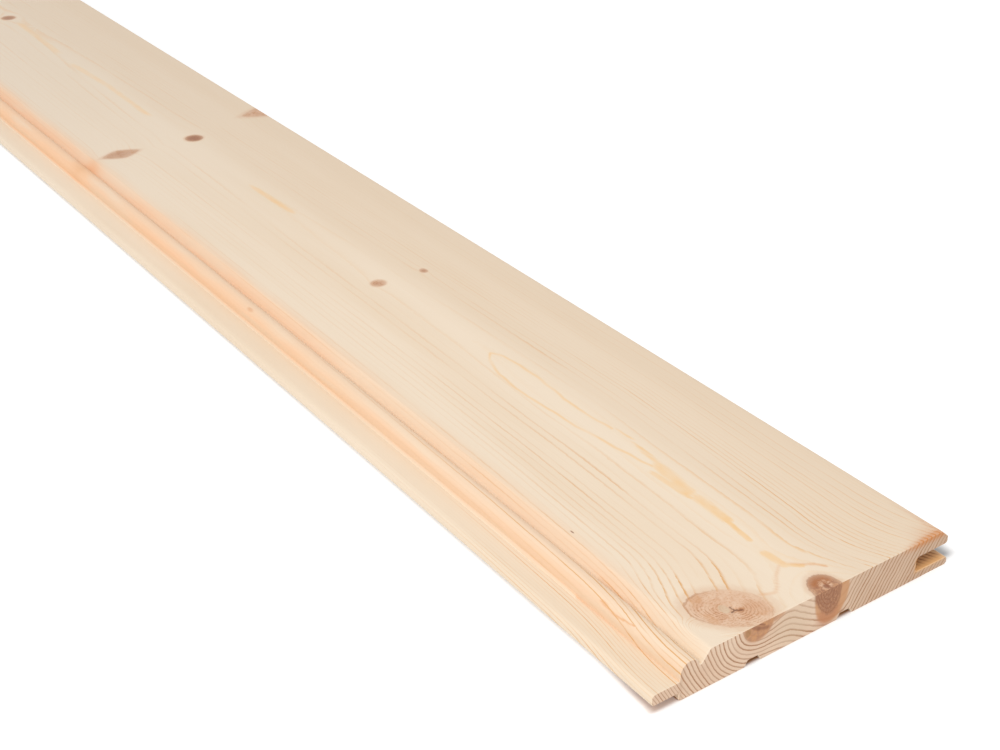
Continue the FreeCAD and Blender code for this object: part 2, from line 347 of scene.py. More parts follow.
def trunk_rings(along, across, height, collars=COLLARS):
    """Growth rings from the pith out: distance from the pith line, lowered round each branch, with rings that narrow outwards."""
    p = PITH
    pith_across = p["across_near"] + (p["across_far"] - p["across_near"]) * np.clip(along / 100, 0, 1.2)
    above = np.interp(along, [0, 100, 125, 175, 345, 520, 630, 1200, 1700, 2400],
                      [p["height"], 6.7, 6.0, 7.7, 10.1, 12.4, 14.7, 18.0, 16.0, 10.0])
    above = above + p["rise"] * np.exp(-((along / p["rise_reach"]) ** 2))
    side = across - pith_across
    squash = 1.825 + (1.159 - 1.825) * smooth_step(-12, 12, side)
    trunk = np.sqrt(side**2 + squash * (height - 14 - above) ** 2)
    radius = trunk
    for collar in collars:
        reach = branch_distance(collar, along, across, height, p["across_near"], 14 + p["height"])
        radius = smooth_least(radius, collar.start + collar.rise * reach, collar.blend)
    for knot in KNOTS:
        radius = radius - knot.push * np.exp(-((knot_reach(knot, along, across, height) / 2.0) ** 2))
    count = RING_FADE / RING_WIDTH * (np.exp(radius / RING_FADE) - 1) - RING_ZERO
    return count + 0.5 * np.maximum(count - 3.5, 0) * smooth_step(58, 74, across)


# Meshes


def line(start, end, step):
    """Points from start up to but not including end, no further apart than step."""
    start, end = np.array(start, float), np.array(end, float)
    parts = max(1, int(np.ceil(np.linalg.norm(end - start) / step)))
    return start + (end - start) * (np.arange(parts) / parts)[:, None]


def arc(centre, radius, start, end, parts):
    """Points on a circle between two angles in degrees, centre plus radius times cosine and sine, without the last."""
    angle = np.radians(start + (end - start) * np.arange(parts) / parts)
    return np.array(centre) + radius * np.stack([np.cos(angle), np.sin(angle)], -1)


def paced(low, high, gap):
    """Stations from low to high whose spacing follows gap(x): the places where the running sum of 1/gap reaches whole numbers."""
    fine = np.linspace(low, high, 20000)
    steps = np.concatenate([[0], np.cumsum(np.diff(fine) / gap((fine[1:] + fine[:-1]) / 2))])
    count = int(round(steps[-1]))
    return np.interp(np.arange(count + 1) * steps[-1] / count, steps, fine)


def face_gap(across):
    """Spacing of the lengthwise lines on the face: fine over the two end knots and coarser elsewhere."""
    near = np.minimum(abs(across - 26.5) - 13, abs(across - 57.5) - 8)
    return 0.55 + 0.55 * smooth_step(0, 5, near)


def station_gap(along):
    """Spacing of the cross sections: fine at the near end and at the knots, wide between them."""
    gap = np.interp(along, [0, 24, 60, 110, 700, 900, 2380, 2400], [0.55, 0.6, 2.0, 5, 12, 34, 34, 8])
    for knot in KNOTS:
        reach = knot.half_along * 1.3
        fine = max(0.55, knot.half_along / (3.6 if knot.along < 700 else 2.4))
        gap = np.minimum(gap, fine + 34 * smooth_step(reach, reach + 24, abs(along - knot.along)))
    return gap


def section(size):
    """The board's outline as seen from the near end, anticlockwise, in millimetres across and up: lines and arcs joined end to end."""
    low, high, roof, top = (v / MM for v in (size.tongue_low, size.tongue_high, size.groove_roof, size.thickness))
    half = size.width / MM / 2
    shoulder = -half + size.tongue_length / MM
    wall = half - size.groove_depth / MM
    bead = size.bead_radius / MM
    bead_centre = (shoulder + bead, size.bead_top / MM - bead)
    vee = size.vee_bottom / MM
    vee_angle = math.degrees(math.asin((vee - bead_centre[1]) / bead))
    vee_left = bead_centre[0] + bead * math.cos(math.radians(vee_angle))
    lip = half - 1.0
    parts = [line((shoulder + 0.8, 0), (-25.15, 0), 3.0)]
    for centre in (-22.0, 15.0):
        parts += [
            line((centre - 3.15, 0), (centre - 2, 2.05), 0.8),
            line((centre - 2, 2.05), (centre + 2, 2.05), 1.4),
            line((centre + 2, 2.05), (centre + 3.15, 0), 0.8),
            line((centre + 3.15, 0), (11.85 if centre < 0 else half - 0.8, 0), 3.0),
        ]
    parts += [
        line((half - 0.8, 0), (half, 0.8), 0.6),
        line((half, 0.8), (half, low - 1.2), 0.6),
        arc((half - 1.2, low - 1.2), 1.2, 0, 90, 5),
        line((half - 1.2, low), (wall + 1.2, low), 1.7),
        arc((wall + 1.2, low + 1.2), 1.2, 270, 180, 4),
        line((wall, low + 1.2), (wall, roof - 1.2), 1.0),
        arc((wall + 1.2, roof - 1.2), 1.2, 180, 90, 4),
        line((wall + 1.2, roof), (lip - 1.1, roof), 1.7),
        arc((lip - 1.1, roof + 1.1), 1.1, 270, 360, 5),
        line((lip, roof + 1.1), (lip, 11.0 - 0.15), 0.7),
        line((lip, 11.0 - 0.15), (lip - 0.12, 11.0 + 0.12), 0.3),
        line((lip - 0.12, 11.0 + 0.12), (lip - 3.3 + 0.12, top - 0.12), 1.0),
        line((lip - 3.3 + 0.12, top - 0.12), (lip - 3.3 - 0.16, top), 0.3),
    ]
    face = paced(shoulder + 10.85 + 0.16, lip - 3.3 - 0.16, lambda y: face_gap(y - shoulder))[::-1]
    parts += [
        np.stack([face[:-1], np.full(len(face) - 1, top)], -1),
        line((shoulder + 10.85 + 0.16, top), (shoulder + 10.85 - 0.1, top - 0.14), 0.3),
        line((shoulder + 10.85 - 0.1, top - 0.14), (vee_left + 0.6, vee), 0.8),
        line((vee_left + 0.6, vee), (vee_left, vee), 0.7),
        arc(bead_centre, bead, vee_angle, 180, 26),
        line((shoulder, bead_centre[1]), (shoulder, high), 0.8),
        line((shoulder, high), (-half + 1.4, high), 1.0),
        arc((-half + 1.4, high - 1.4), 1.4, 90, 180, 6),
        line((-half, high - 1.4), (-half, low + 1.4), 0.7),
        arc((-half + 1.4, low + 1.4), 1.4, 180, 270, 6),
        line((-half + 1.4, low), (shoulder, low), 1.5),
        line((shoulder, low), (shoulder, 0.8), 0.8),
        line((shoulder, 0.8), (shoulder + 0.8, 0), 0.6),
    ]
    return np.concatenate(parts)


def inward(outline, amount):
    """The outline moved inwards by amount: each point goes along the mean normal of its two edges."""
    before, after = outline - np.roll(outline, 1, 0), np.roll(outline, -1, 0) - outline
    before, after = (e / np.linalg.norm(e, axis=1, keepdims=True) for e in (before, after))
    lean = before + after
    lean /= np.linalg.norm(lean, axis=1, keepdims=True)
    return outline + amount * np.stack([-lean[:, 1], lean[:, 0]], -1)


def inside(points, outline):
    """True for the points that a level ray to the right leaves through an odd number of the outline's edges."""
    a, b = outline, np.roll(outline, -1, 0)
    y, z = points[:, 0, None], points[:, 1, None]
    spans = (a[:, 1] > z) != (b[:, 1] > z)
    rise = np.where(a[:, 1] == b[:, 1], 1e-9, b[:, 1] - a[:, 1])
    crossing = a[:, 0] + (z - a[:, 1]) * (b[:, 0] - a[:, 0]) / rise
    return (np.sum(spans & (y < crossing), axis=1) % 2) == 1


def edge_distance(points, outline):
    """Distance from each point to the nearest edge of the outline."""
    a, b = outline, np.roll(outline, -1, 0)
    along = b - a
    t = np.sum((points[:, None] - a) * along, -1) / np.sum(along**2, -1)
    nearest = a + np.clip(t, 0, 1)[..., None] * along
    return np.linalg.norm(points[:, None] - nearest, axis=2).min(axis=1)


def end_cap(outline, step):
    """Points and triangles that fill the outline: a staggered grid inside it, joined by Delaunay triangles."""
    low, high = outline.min(0), outline.max(0)
    grid = np.stack(np.meshgrid(np.arange(low[0], high[0], step), np.arange(low[1], high[1], step * 0.866)), -1)
    grid[1::2, :, 0] += step / 2
    grid = grid.reshape(-1, 2)
    grid = grid[inside(grid, outline)]
    grid = grid[edge_distance(grid, outline) > step * 0.45]
    count = len(outline)
    edges = [(i, (i + 1) % count) for i in range(count)]
    found = delaunay_2d_cdt(
        [Vector(p) for p in np.concatenate([outline, grid]).tolist()], edges, [], 1, 1e-7
    )
    return np.array([tuple(v) for v in found[0]]), np.array(found[2])


def ripple(place, phase, waves=((1.0, 0.0), (2.3, 1.7), (5.1, 4.2))):
    """A slow uneven wave between about 0 and 1: the mean of three sines whose lengths don't fit each other."""
    total = sum(np.sin(place * rate + turn + phase) for rate, turn in waves)
    return 0.5 + total / (2 * len(waves))


def corner_weight(outline):
    """1 at the outline's sharp corners and 0 where it runs straight or bends gently: from the angle between its two edges."""
    before, after = outline - np.roll(outline, 1, 0), np.roll(outline, -1, 0) - outline
    cross = before[:, 0] * after[:, 1] - before[:, 1] * after[:, 0]
    angle = np.arctan2(cross, np.sum(before * after, 1))
    return smooth_step(math.radians(18), math.radians(34), angle)


def thinned(outline, step):
    """Numbers of the points kept where the outline may be coarser: its corners, and one of the others for every step of its length."""
    passed = np.concatenate([[0], np.cumsum(np.linalg.norm(np.diff(outline, axis=0), axis=1))])
    regular = np.searchsorted(passed, np.arange(0, passed[-1], step))
    return np.union1d(regular, np.nonzero(corner_weight(outline) > 0)[0])


def sheet(stations, shape, first):
    """Cross sections joined lengthwise by quads, their points numbered from first."""
    rings, count = shape.shape[:2]
    x = np.broadcast_to(stations[:, None, None], (rings, count, 1))
    i, j = np.meshgrid(np.arange(rings - 1), np.arange(count), indexing="ij")
    k = (j + 1) % count
    quads = np.stack([i * count + j, (i + 1) * count + j, (i + 1) * count + k, i * count + k], -1)
    return np.concatenate([x, shape], -1).reshape(-1, 3), first + quads.reshape(-1, 4)


def joining_strip(near, far, kept, count):
    """Triangles from a cross section of count points, numbered from near, to one of its kept points alone, numbered from far."""
    j, m = np.arange(count), np.arange(len(kept))
    owner = np.searchsorted(kept, j, side="right") - 1
    after = (m + 1) % len(kept)
    fans = np.stack([near + j, far + owner, near + (j + 1) % count], -1)
    return np.concatenate([fans, np.stack([near + kept[after], far + m, far + after], -1)])


def knot_sink(along, across, height):
    """How far the face lies lower inside the knots and the drying crack, in millimetres."""
    reach = np.min([knot_reach(k, along, across, height) for k in KNOTS], axis=0)
    crack = np.min([segment_distance(along, across, CRACK_CENTRE, tip) for tip in CRACK_TIPS], axis=0)
    heart = np.hypot(along - 8.5, across - 28.5)
    sink = 0.05 * smooth_step(1.05, 0.9, reach) + 0.03 * smooth_step(1.0, 0.2, reach)
    return sink + 0.30 * smooth_step(0.75, 0.15, crack) + 0.15 * smooth_step(1.2, 0.4, heart)


def make_board(size):
    """The section carried along the length, its edges eased at both ends and a little worn, its knots sunk, and the saw-cut ends filled."""
    outline = section(size)
    total = size.length / MM
    ease = size.end_arris / MM
    along = np.concatenate([[0], paced(ease, total - ease, station_gap), [total]])
    rings, count = len(along), len(outline)
    shape = np.broadcast_to(outline, (rings, count, 2)).copy()
    corner = np.arange(count)[None, :] * 0.37
    wear = corner_weight(outline)[None, :] * ripple(along[:, None] / 23.0, corner) ** 2 * size.wear / MM
    shape += wear[..., None] * (inward(outline, 1.0) - outline)[None]
    grid_along = np.broadcast_to(along[:, None], (rings, count))
    across = shape[..., 0] - (-size.width / MM / 2 + size.tongue_length / MM)
    on_face = shape[..., 1] > size.thickness / MM - 0.05
    shape[..., 1] -= np.where(on_face, knot_sink(grid_along, across, shape[..., 1]), 0)
    shape[0], shape[-1] = inward(shape[1], ease), inward(shape[-2], ease)
    kept, fine = thinned(outline, 1.15), int(np.sum(along < 46))
    near, near_quads = sheet(total / 2 - along[:fine], shape[:fine], 0)
    far, far_quads = sheet(total / 2 - along[fine:], shape[fine:, kept], len(near))
    points = np.concatenate([near, far])
    caps = []
    for x, first, rim, step in (
        (total / 2, 0, shape[0], 0.7),
        (-total / 2, len(points) - len(kept), shape[-1, kept], 1.3),
    ):
        cap_points, cap_faces = end_cap(rim, step)
        extra = cap_points[len(rim):]
        own = np.where(cap_faces < len(rim), cap_faces + first, cap_faces - len(rim) + len(points))
        points = np.concatenate([points, np.column_stack([np.full(len(extra), x), extra])])
        caps.append(own if x > 0 else own[:, ::-1])
    strip = joining_strip(len(near) - count, len(near), kept, count)
    sides = np.concatenate([near_quads, far_quads]).tolist() + strip.tolist()
    return points, sides, np.concatenate(caps).tolist()


def segment_distance(p, q, start, end):
    """Distance in the plane from each point to the straight line between two others."""
    run = np.array(end) - np.array(start)
    t = np.clip(((p - start[0]) * run[0] + (q - start[1]) * run[1]) / (run @ run), 0, 1)
    return np.hypot(p - start[0] - t * run[0], q - start[1] - t * run[1])


def strokes(along, across, marks, soft):
    """The strongest of some tapering strokes: 1 within each stroke's half width, falling to 0 over soft times it."""
    found = np.zeros_like(along)
    for x0, y0, x1, y1, half in marks:
        away = segment_distance(along, across, (x0, y0), (x1, y1))
        found = np.maximum(found, smooth_step(half * (1 + soft), half * (1 - soft), away))
    return found


def growth(points, size):
    """What the wood is like at each point: ring count, nearest knot and how dark it is, resin, blush and stain, and
    where shade is painted.
    """
    along = size.length / MM / 2 - points[:, 0]
    across = points[:, 1] - (-size.width / MM / 2 + size.tongue_length / MM)
    height = points[:, 2]
    on_face = smooth_step(13.0, 13.8, height)
    reaches = np.stack([knot_reach(k, along, across, height) for k in KNOTS])
    nearest = reaches.argmin(0)
    dark = np.array([k.dark for k in KNOTS])[nearest]
    sizes = np.array([k.half_along for k in KNOTS])[nearest]
    pith = np.exp(-(((across - 56.5) / 7.5) ** 2))
    far = smooth_step(100, 320, along)
    blush = smooth_step(-0.5, 0.2, across) * smooth_step(16.5, 9, across) * (0.36 + 0.20 * far)
    beyond = smooth_step(380, 450, along)
    blush = blush + (0.26 + 0.1 * far) * smooth_step(1.6, 0.6, across) * smooth_step(-0.5, 0.2, across)
    blush = blush + 0.16 * beyond * smooth_step(12, 4, across) * smooth_step(-0.5, 0.2, across)
    blush = blush * (1 - smooth_step(44, 10, along) * (0.4 + 0.5 * smooth_step(5.5, 7.5, across)))
    bead_side = smooth_step(1.6, 0.6, across) * smooth_step(-0.5, 0.2, across)
    # Painted shade towards the groove side and on the bead's left flank, more in the far half.
    side_shade = 0.42 * smooth_step(56, 72, across) + 0.22 * smooth_step(88, 98, across) + (0.26 + 0.50 * far) * bead_side
    turn = np.arctan2(height - BEAD_CENTRE[1], BEAD_CENTRE[0] - across) * BEAD_CENTRE[0]
    on_bead = smooth_step(-0.5, 0.2, across) * smooth_step(7.0, 5.0, across) * smooth_step(9.0, 9.8, height)
    blotch = np.exp(-(((along - 432) / 7) ** 2)) * smooth_step(14, 8, across) * smooth_step(-1, 1, across)
    face_amber = np.exp(-((along / 1.4) ** 2)) * smooth_step(87, 98, across) + 0.55 * np.exp(-((along / 5.0) ** 2)) * smooth_step(92, 103, across)
    face_amber = face_amber * on_face
    end_amber = smooth_step(0.6, 0.1, along) * smooth_step(86, 96, across) * smooth_step(11.0, 13.6, height)
    lip_amber = 0.45 * np.exp(-((along / 14) ** 2)) * smooth_step(103.0, 104.6, across) * smooth_step(11.6, 13.2, height)
    # Painted shade inside the groove, deepening away from the near end.
    inner = smooth_step(94.5, 95.1, across) * smooth_step(8.5, 8.1, height) * smooth_step(2.4, 2.9, height)
    groove = inner * smooth_step(110.2, 108.0, across) * smooth_step(-0.1, 0.1, along)
    bare = np.exp(-(((along + 2) / 14) ** 2) - (((across - 13) / 5.0) ** 2)) * smooth_step(9.0, 11.0, height)
    near = np.interp(along, [0, 20, 60, 100, 200, 320, 640, 900], [1.15, 1.05, 0.80, 0.60, 0.34, 0.24, 0.26, 0.45])
    tongue = smooth_step(1.0, -1.0, across) * (0.10 + 0.65 * smooth_step(60, 170, along))
    collar = np.exp(-(((along - 26) / 14) ** 2) - (((across - 17) / 9) ** 2))
    grain = (near + 0.5 * collar) * (1 + 0.10 * smooth_step(58, 64, across) - 0.45 * smooth_step(80, 94, across)) * (1 - tongue) * (1 - 0.95 * np.clip(1.4 * bare, 0, 1))
    near_tongue = smooth_step(0.5, -0.5, across) * smooth_step(110, 50, along)
    grain = grain * (1 + 0.8 * on_bead * smooth_step(260, 60, along) + 1.1 * near_tongue)
    return {
        "ring": ring_count(along, across, height),
        "knot": np.minimum(reaches.min(0), 6),
        "knot_dark": dark,
        "knot_size": sizes,
        "resin": strokes(along, across, STREAKS, 0.8) * on_face,
        "fork": np.maximum(strokes(along, across, FORK, 0.6) * np.interp(along, [9, 12, 16], [0.85, 0.6, 0.2]), 0.4 * strokes(along, across, FORK_PALE, 0.7)) * on_face,
        "pocket": strokes(along, turn, POCKET, 0.5) * on_bead + 0.4 * blotch,
        "side_shade": side_shade * smooth_step(-0.5, 0.5, height),
        "resin_line": pith * (1 - 0.6 * smooth_step(150, 230, along)),
        "blush": blush + 0.75 * blotch,
        "amber": np.maximum(np.maximum(face_amber, end_amber), lip_amber),
        "groove": groove,
        "groove_shade_inward": groove * (0.08 + 0.92 * smooth_step(0.3, 3.6, along)),
        "grain": grain,
        "end_grain": 1 + 0.05 * smooth_step(61, 67, across),
        # Painted shade over the far half, for the light falling off there, less on the tongue.
        "far_shade": smooth_step(150, 650, along) * (0.3 + 0.7 * smooth_step(-1, 1, across)),
    }


# Shader nodes


class Value:
    """A number that changes over the surface. Arithmetic on it adds Math nodes."""

    def __init__(self, recipe, socket):
        self.recipe = recipe
        self.socket = socket

    def maths(self, operation, *others, clamp=False):
        """A Math node of this value and the others."""
        values = dict(enumerate((self, *others)))
        settings = {"operation": operation, "use_clamp": clamp}
        return Value(self.recipe, self.recipe.node("ShaderNodeMath", settings, values))

    def __add__(self, other):
        return self.maths("ADD", other)

    def __sub__(self, other):
        return self.maths("SUBTRACT", other)

    def __mul__(self, other):
        return self.maths("MULTIPLY", other)

    def __truediv__(self, other):
        return self.maths("DIVIDE", other)

    def __pow__(self, other):
        return self.maths("POWER", other)

    def __rsub__(self, other):
        return self.recipe.value(other).maths("SUBTRACT", self)

    def __rtruediv__(self, other):
        return self.recipe.value(other).maths("DIVIDE", self)

    __radd__ = __add__
    __rmul__ = __mul__

    def clamped(self):
        """Held between 0 and 1."""
        return self.maths("ADD", 0.0, clamp=True)

    def step(self, low, high):
        """0 below low and 1 above high with a smooth rise, or a smooth fall where low is above high."""
        start, end = (0.0, 1.0) if low < high else (1.0, 0.0)
        sockets = {"Value": self, "From Min": min(low, high), "From Max": max(low, high), "To Min": start, "To Max": end}
        settings = {"interpolation_type": "SMOOTHSTEP"}
        return Value(self.recipe, self.recipe.node("ShaderNodeMapRange", settings, sockets))


class Recipe:
    """The node tree of one material."""

    def __init__(self, name):
        self.material = bpy.data.materials.new(name)
        self.material.use_nodes = True
        self.tree = self.material.node_tree
        self.tree.nodes.clear()

    def node(self, kind, settings=None, sockets=None, output=0):
        """A node of this type, its settings set before its sockets. Gives one of its outputs."""
        made = self.tree.nodes.new(kind)
        for key, value in (settings or {}).items():
            setattr(made, key, value)
        for key, value in (sockets or {}).items():
            value = value.socket if isinstance(value, Value) else value
            if isinstance(value, bpy.types.NodeSocket):
                self.tree.links.new(value, made.inputs[key])
            else:
                made.inputs[key].default_value = value
        return made.outputs[output]

    def value(self, number):
        """A plain number as the start of an expression."""
        if isinstance(number, Value):
            return number
        return Value(self, self.node("ShaderNodeMath", {"operation": "ADD"}, {0: number, 1: 0.0}))

    def attribute(self, name):
        """A number kept in the mesh."""
        return Value(self, self.node("ShaderNodeAttribute", {"attribute_name": name}, output="Fac"))

    def vector(self, operation, *vectors, scale=None):
        """A Vector Math node."""
        sockets = dict(enumerate(vectors))
        if scale is not None:
            sockets["Scale"] = scale
        return self.node("ShaderNodeVectorMath", {"operation": operation}, sockets)

    def mix(self, factor, first, second, blend="MIX"):
        """The first colour, turned into the second by factor."""
        settings = {"data_type": "RGBA", "blend_type": blend, "clamp_factor": True}
        first, second = ((*c, 1.0) if isinstance(c, tuple) else c for c in (first, second))
        return self.node("ShaderNodeMix", settings, {0: factor, 6: first, 7: second}, output=2)

    def noise(self, place, stretch, detail=2.0, roughness=0.5, shift=0.0):
        """Soft noise from 0 to 1 whose grain along each axis is 1 / stretch, in millimetres."""
        moved = self.node("ShaderNodeMapping", {}, {"Vector": place, "Location": (shift, shift * 0.7, shift * 1.3), "Scale": stretch})
        sockets = {"Vector": moved, "Scale": 1.0, "Detail": detail, "Roughness": roughness}
        return Value(self, self.node("ShaderNodeTexNoise", {}, sockets, output="Fac"))

    def measure(self, operation, *vectors):
        """A Vector Math node that gives a number, such as a length or a dot product."""
        return Value(self, self.node("ShaderNodeVectorMath", {"operation": operation}, dict(enumerate(vectors)), output="Value"))

    def spot(self, place, centre, radii, outer=1.1, inner=0.6):
        """1 inside an ellipsoid at centre and 0 outside it, with a soft edge."""
        offset = self.vector("DIVIDE", self.vector("SUBTRACT", place, centre), radii)
        return self.measure("LENGTH", offset).step(outer, inner)

    def stroke(self, place, start, end, half, soft=0.4):
        """1 within half of the straight line from start to end, and 0 a little beyond."""
        run = Vector(end) - Vector(start)
        offset = self.vector("SUBTRACT", place, tuple(start))
        share_along = self.measure("DOT_PRODUCT", offset, tuple(run / run.length_squared)).clamped()
        nearest = self.vector("SCALE", tuple(run), scale=share_along)
        away = self.measure("LENGTH", self.vector("SUBTRACT", offset, nearest))
        return away.step(half * (1 + soft), half * (1 - soft))


def rgb(value):
    """A colour property as a tuple."""
    return tuple(value)


def on_board(along, across, height=14.0):
    """A point given along, across and up from the near end, the shoulder and the back, as Object coordinates in millimetres."""
    return (BOARD_SIZE.x / MM / 2 - along, across - 50.0, height)


def knot_wood(r, looks, place, knot, dark, shiver, patch):
    """The colour inside the knots: rings round each heart, a pale heart and brown rim where dark, and the two end knots' own marks."""
    fine = r.noise(place, (1.3, 1.3, 0.8), 2.0, 0.7, 41.0)
    patchy = r.noise(place, (0.24, 0.24, 0.24), 2.0, 0.6, 51.0).step(0.38, 0.66)
    sawn = r.attribute("sawn_end")
    wander = shiver * 1.3 + (patch - 0.5) * 1.8 + (fine - 0.5) * 0.5
    turns = knot * r.attribute("knot_size") * 0.95 + wander * (1 - 0.6 * sawn)
    phase = turns.maths("FRACT")
    ring = phase.step(0.45, 0.86) * phase.step(1.0, 0.92)
    pale = r.mix(patchy * 0.55, rgb(looks.knot_pale), rgb(looks.knot_tan))
    end_side = r.stroke(place, on_board(13.0, 17.0), on_board(2.5, 28.5), 3.4, 0.7)
    tone = r.mix(dark, pale, rgb(looks.knot_dark))
    depth = 0.10 + 0.34 * patchy + 0.40 * end_side + 0.15 * dark + 0.40 * sawn
    ring_tone = r.mix(dark, rgb(looks.knot_rim_deep), rgb(looks.knot_ring))
    tone = r.mix(ring * depth * (0.2 + 1.4 * fine.step(0.35, 0.65)), tone, ring_tone)
    tone = r.mix((fine - 0.45) * 2.2, tone, rgb(looks.knot_tan))
    tone = r.mix(knot.step(0.72, 0.98) * (0.05 + 0.35 * dark) * (1 - sawn), tone, rgb(looks.knot_rim))
    for centre, radii, amount in (
        ((19.0, 21.8), (2.4, 2.0, 4.0), 0.55),
        ((9.4, 19.4), (3.6, 1.7, 4.0), 0.45),
        ((3.0, 33.5), (1.8, 1.4, 4.0), 0.35),
    ):
        tone = r.mix(r.spot(place, on_board(*centre), radii) * amount, tone, rgb(looks.knot_rim))
    tone = r.mix(r.spot(place, on_board(10.8, 25.4), (2.0, 1.35, 4.0), 1.15, 0.95) * 0.6, tone, rgb(looks.knot_grey))
    planed = 1 - sawn
    coarse = r.noise(place, (0.9, 0.9, 0.6), 2.0, 0.7, 47.0).step(0.38, 0.62)
    small = r.spot(place, on_board(0.0, 57.0), (9.0, 9.0, 4.0), 1.2, 0.9) * planed
    tone = r.mix(small * coarse * 0.6, tone, rgb(looks.knot_tan))
    side = r.spot(place, on_board(4.6, 57.0), (3.2, 5.0, 4.0), 1.2, 0.5) * planed
    tone = r.mix(side * (0.60 + 0.35 * coarse), tone, rgb(looks.knot_rim_deep))
    halo = r.spot(place, on_board(2.2, 57.3), (2.3, 2.2, 4.0), 1.25, 0.7) * planed
    tone = r.mix(halo * coarse * 0.6, tone, rgb(looks.knot_pale))
    heart = r.spot(place, on_board(1.3, 57.0), (1.2, 1.1, 4.0), 1.2, 0.5) * planed
    return r.mix(heart * (0.5 + 0.6 * fine), tone, rgb(looks.knot_ring))


def ring_loop(r, looks, place, body):
    """The long ring that closes on itself in the middle of the face, as wavering resin lines."""
    wobble = r.node("ShaderNodeTexNoise", {}, {"Vector": place, "Scale": 0.09, "Detail": 2.0}, output="Color")
    shift = r.vector("SCALE", r.vector("SUBTRACT", wobble, (0.5, 0.5, 0.5)), scale=2.2)
    flat = r.vector("ADD", place, r.vector("MULTIPLY", shift, (1.0, 1.0, 0.0)))
    lines = r.value(0.0)
    for x0, y0, x1, y1 in LOOP:
        lines = lines.maths("MAXIMUM", r.stroke(flat, on_board(x0, y0), on_board(x1, y1), 0.5, 0.95))
    inner = r.spot(flat, on_board(126.0, 55.8), (44.0, 4.6, 4.0), 1.2, 0.6)
    body = r.mix(inner * 0.35, body, rgb(looks.face))
    thin = r.noise(place, (0.05, 0.3, 0.3), 2.0, 0.6, 19.0).step(0.25, 0.65)
    return r.mix(lines * (0.2 + 0.4 * thin), body, rgb(looks.resin))


def star_crack(r, looks, place, wood):
    """The big knot's drying crack: brown arms out of an orange-brown heart."""
    wobble = r.node("ShaderNodeTexNoise", {}, {"Vector": place, "Scale": 1.7, "Detail": 2.0}, output="Color")
    shift = r.vector("SCALE", r.vector("SUBTRACT", wobble, (0.5, 0.5, 0.5)), scale=1.3)
    flat = r.vector("MULTIPLY", r.vector("ADD", place, shift), (1.0, 1.0, 0.1))
    arms = r.value(0.0)
    for tip in CRACK_TIPS:
        arm = r.stroke(flat, on_board(*CRACK_CENTRE, 1.4), on_board(*tip, 1.4), 0.30, 0.9)
        arms = arms.maths("MAXIMUM", arm)
    near_face = r.spot(place, on_board(*CRACK_CENTRE), (6.0, 6.0, 2.0), 1.1, 0.8)
    wood = r.mix(r.spot(place, on_board(7.9, 29.1), (1.2, 1.6, 3.0), 1.2, 0.3) * 0.75, wood, rgb(looks.crack_heart))
    return r.mix(arms * near_face * 0.8, wood, rgb(looks.crack))


def knot_cup(r, looks, place):
    """1 where the saw-cut end passes through the big knot, which ends there in a cup."""
    bowl = r.spot(place, on_board(0, 29.3, 14.6), (6, 6.4, 7.2), 1.06, 0.84)
    tail = r.spot(place, on_board(0, 35.0, 14.6), (6, 5.2, 3.0), 1.1, 0.7)
    return bowl.maths("MAXIMUM", tail * 0.8) * 0.92


def knot_cup_tone(r, looks, place):
    """The brown cup with its darker slanting band and a resin spot."""
    grain = r.noise(place, (0.5, 0.5, 0.5), 2.0, 0.6, 91.0)
    tone = r.mix(grain.step(0.3, 0.7), rgb(looks.cup), rgb(looks.knot_rim))
    for start, end, half in (
        ((26.8, 13.9), (29.0, 12.2), 0.7),
        ((29.0, 12.2), (32.6, 11.2), 0.6),
        ((29.2, 13.8), (31.4, 12.6), 0.35),
    ):
        band = r.stroke(place, on_board(0, *start), on_board(0, *end), half, 0.7)
        tone = r.mix(band * 0.7, tone, rgb(looks.knot_ring))
    return r.mix(r.spot(place, on_board(0, 25.0, 12.3), (6, 1.4, 1.6)) * 0.65, tone, rgb(looks.olive))


def end_marks(r, looks, place, cut):
    """The saw-cut end's resin beside and under the small end knot."""
    between = r.spot(place, on_board(0, 43.5, 7.0), (8, 9.0, 8.0), 1.2, 0.4)
    cut = r.mix(between * 0.35, cut, rgb(looks.knot_grey))
    rim = r.spot(place, on_board(0, 58.6, 11.4), (8, 7.1, 10.6), 1.06, 0.90)
    cut = r.mix(rim * 0.85, cut, rgb(looks.knot_rim))
    under = r.spot(place, on_board(0, 57.8, 4.4), (8, 5.2, 4.2), 1.2, 0.5)
    cut = r.mix(under * 0.6, cut, rgb(looks.knot_red))
    shoulder = r.spot(place, on_board(0, 53.6, 12.9), (6, 2.7, 3.6), 1.15, 0.6)
    return r.mix(shoulder * 0.8, cut, rgb(looks.knot_dark))


